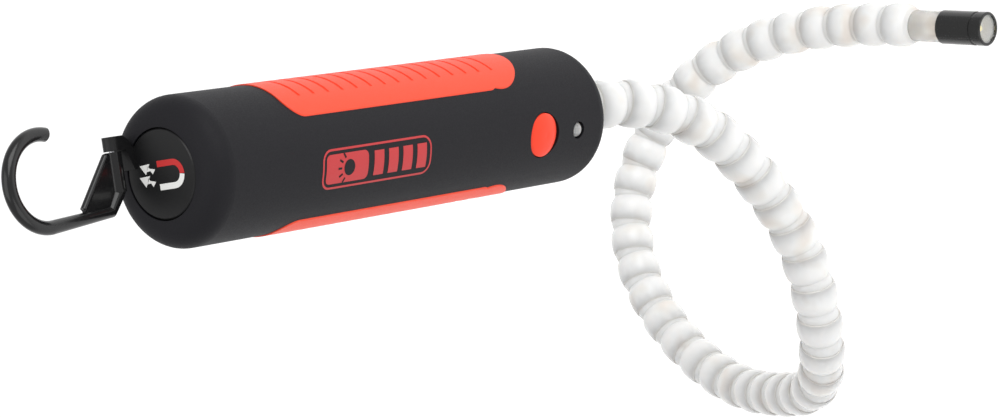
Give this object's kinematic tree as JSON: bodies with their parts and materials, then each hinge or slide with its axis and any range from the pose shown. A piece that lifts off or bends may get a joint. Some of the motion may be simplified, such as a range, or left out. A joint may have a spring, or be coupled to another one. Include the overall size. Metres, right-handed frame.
{
  "type": "flexible inspection light with magnetic pickup tip",
  "caption": "Round battery handle with button and grips, bendable arm of clear ball-jointed beads, magnetic lit tip, swivelling magnet and fold-out hook.",
  "frame": {"origin": "centre of the swivel's outer face, where the rear magnet holds", "axes": "+Z along the case axis out of the swivel end, the button faces -Y"},
  "size_m": [0.1427, 0.1378, 0.3974],
  "materials": {
    "case_plastic": "soft-touch black",
    "grip_rubber": "satin red-orange rubber",
    "button_rubber": "satin orange-red rubber",
    "clear_beads": "translucent milky plastic",
    "steel": "zinc plated",
    "black_plastic": "fine matte moulded",
    "gloss_black": "glossy moulded",
    "board": "green solder mask",
    "inner_plastic": "moulded",
    "cell_wrap": "shrink sleeve",
    "clear_lens": "clear",
    "magnet": "nickel plated",
    "tip_black": "semi-gloss black",
    "reflector": "white reflector",
    "led_chip": "phosphor"
  },
  "bodies": {
    "case": {"front_shell": "case_plastic", "rear_shell": "case_plastic", "grip_left": "grip_rubber", "grip_right": "grip_rubber", "case_screws": "steel", "nose_collar": "black_plastic", "circuit_board": "board", "board_screws": "steel", "push_switch": "inner_plastic", "indicator_led": "clear_lens", "battery_cell": "cell_wrap", "battery_holder": "inner_plastic", "battery_contacts": "steel", "charge_board": "board", "charge_socket": "steel", "case_lead": "inner_plastic"},
    "swivel": {"swivel_disc": "black_plastic", "rear_magnet": "magnet", "magnet_plate": "steel", "swivel_clip": "steel", "hook_pin": "steel"},
    "hook": {"hook": "gloss_black"},
    "button": {"button": "button_rubber"},
    "arm_01": {"arm_beads_01": "clear_beads"},
    "arm_02": {"arm_beads_02": "clear_beads"},
    "arm_03": {"arm_beads_03": "clear_beads"},
    "arm_04": {"arm_beads_04": "clear_beads"},
    "arm_05": {"arm_beads_05": "clear_beads"},
    "arm_06": {"arm_beads_06": "clear_beads"},
    "arm_07": {"arm_beads_07": "clear_beads"},
    "arm_08": {"arm_beads_08": "clear_beads"},
    "arm_09": {"arm_beads_09": "clear_beads"},
    "arm_10": {"arm_beads_10": "clear_beads"},
    "arm_11": {"arm_beads_11": "clear_beads"},
    "arm_12": {"arm_beads_12": "clear_beads"},
    "arm_13": {"arm_beads_13": "clear_beads"},
    "arm_14": {"arm_beads_14": "clear_beads"},
    "arm_15": {"arm_beads_15": "clear_beads"},
    "arm_16": {"arm_beads_16": "clear_beads"},
    "arm_17": {"arm_beads_17": "clear_beads"},
    "arm_18": {"arm_beads_18": "clear_beads"},
    "arm_19": {"arm_beads_19": "clear_beads"},
    "arm_20": {"arm_beads_20": "clear_beads"},
    "arm_21": {"arm_beads_21": "clear_beads", "tip_tube": "clear_beads", "tip_sleeve": "tip_black", "tip_magnet": "magnet", "tip_reflector": "reflector", "tip_led": "led_chip", "tip_lens": "clear_lens"}
  },
  "joints": [
    {"name": "swivel_turn", "type": "hinge", "parent": "case", "child": "swivel", "pos_m": [0, 0, 0], "axis": [0, 0, 1], "continuous": true},
    {"name": "hook_fold", "type": "hinge", "parent": "swivel", "child": "hook", "pos_m": [-0.00307, 0.01035, 0.0053], "axis": [-0.9588, -0.284, 0], "range_deg": [-90, 12]},
    {"name": "button_press", "type": "slide", "parent": "case", "child": "button", "axis": [0, 1, 0], "range_m": [0, 0.001], "stiffness_N_per_m": 800},
    {"name": "arm_bend_01", "type": "hinge", "parent": "case", "child": "arm_01", "pos_m": [0, 0, -0.1728], "axis": [-0.7812, -0.6243, 0], "range_deg": [-18, 4]},
    {"name": "arm_bend_02", "type": "hinge", "parent": "arm_01", "child": "arm_02", "pos_m": [0.00194, -0.00575, -0.19384], "axis": [-0.5841, 0.7615, -0.281], "range_deg": [-13, 4]},
    {"name": "arm_bend_03", "type": "hinge", "parent": "arm_02", "child": "arm_03", "pos_m": [-0.00221, -0.01512, -0.21322], "axis": [0.1171, 0.8713, -0.4765], "range_deg": [-14, 4]},
    {"name": "arm_bend_04", "type": "hinge", "parent": "arm_03", "child": "arm_04", "pos_m": [-0.01349, -0.02296, -0.23031], "axis": [-0.0674, 0.9308, -0.3592], "range_deg": [-10, 4]},
    {"name": "arm_bend_05", "type": "hinge", "parent": "arm_04", "child": "arm_05", "pos_m": [-0.02876, -0.02984, -0.24455], "axis": [-0.1884, 0.946, -0.2638], "range_deg": [-9, 4]},
    {"name": "arm_bend_06", "type": "hinge", "parent": "arm_05", "child": "arm_06", "pos_m": [-0.04678, -0.03622, -0.25534], "axis": [0.0099, 0.8414, -0.5403], "range_deg": [-11, 4]},
    {"name": "arm_bend_07", "type": "hinge", "parent": "arm_06", "child": "arm_07", "pos_m": [-0.06719, -0.03968, -0.26271], "axis": [0.3356, -0.4798, -0.8106], "range_deg": [-13, 4]},
    {"name": "arm_bend_08", "type": "hinge", "parent": "arm_07", "child": "arm_08", "pos_m": [-0.08637, -0.0368, -0.27278], "axis": [0.384, -0.441, -0.8112], "range_deg": [-19, 4]},
    {"name": "arm_bend_09", "type": "hinge", "parent": "arm_08", "child": "arm_09", "pos_m": [-0.09949, -0.02458, -0.28507], "axis": [0.47, -0.3237, -0.8212], "range_deg": [-16, 4]},
    {"name": "arm_bend_10", "type": "hinge", "parent": "arm_09", "child": "arm_10", "pos_m": [-0.106, -0.00662, -0.29594], "axis": [0.3389, -0.3906, -0.8559], "range_deg": [-6, 4]},
    {"name": "arm_bend_11", "type": "hinge", "parent": "arm_10", "child": "arm_11", "pos_m": [-0.10995, 0.01248, -0.30607], "axis": [0.4856, -0.331, -0.8091], "range_deg": [-13, 4]},
    {"name": "arm_bend_12", "type": "hinge", "parent": "arm_11", "child": "arm_12", "pos_m": [-0.10798, 0.03303, -0.31333], "axis": [0.3573, -0.3287, -0.8742], "range_deg": [-13, 4]},
    {"name": "arm_bend_13", "type": "hinge", "parent": "arm_12", "child": "arm_13", "pos_m": [-0.09918, 0.05269, -0.31751], "axis": [-0.0538, -0.165, -0.9848], "range_deg": [-11, 4]},
    {"name": "arm_bend_14", "type": "hinge", "parent": "arm_13", "child": "arm_14", "pos_m": [-0.08525, 0.06919, -0.3214], "axis": [-0.3443, 0.0853, -0.935], "range_deg": [-13, 4]},
    {"name": "arm_bend_15", "type": "hinge", "parent": "arm_14", "child": "arm_15", "pos_m": [-0.06729, 0.08028, -0.32727], "axis": [-0.4166, 0.2123, -0.884], "range_deg": [-14, 4]},
    {"name": "arm_bend_16", "type": "hinge", "parent": "arm_15", "child": "arm_16", "pos_m": [-0.04725, 0.08374, -0.33539], "axis": [-0.3563, -0.2094, -0.9106], "range_deg": [-16, 4]},
    {"name": "arm_bend_17", "type": "hinge", "parent": "arm_16", "child": "arm_17", "pos_m": [-0.02719, 0.07768, -0.34146], "axis": [-0.345, -0.2719, -0.8984], "range_deg": [-16, 4]},
    {"name": "arm_bend_18", "type": "hinge", "parent": "arm_17", "child": "arm_18", "pos_m": [-0.01055, 0.06364, -0.34393], "axis": [-0.1327, -0.0082, -0.9911], "range_deg": [-12, 4]},
    {"name": "arm_bend_19", "type": "hinge", "parent": "arm_18", "child": "arm_19", "pos_m": [0.00136, 0.04525, -0.3454], "axis": [-0.1777, -0.0314, -0.9836], "range_deg": [-10, 4]},
    {"name": "arm_bend_20", "type": "hinge", "parent": "arm_19", "child": "arm_20", "pos_m": [0.00899, 0.02465, -0.34603], "axis": [-0.345, -0.0951, -0.9338], "range_deg": [-8, 4]},
    {"name": "arm_bend_21", "type": "hinge", "parent": "arm_20", "child": "arm_21", "pos_m": [0.01377, 0.00319, -0.34559], "axis": [-0.4023, -0.1072, -0.9092], "range_deg": [-6, 4]}
  ]
}
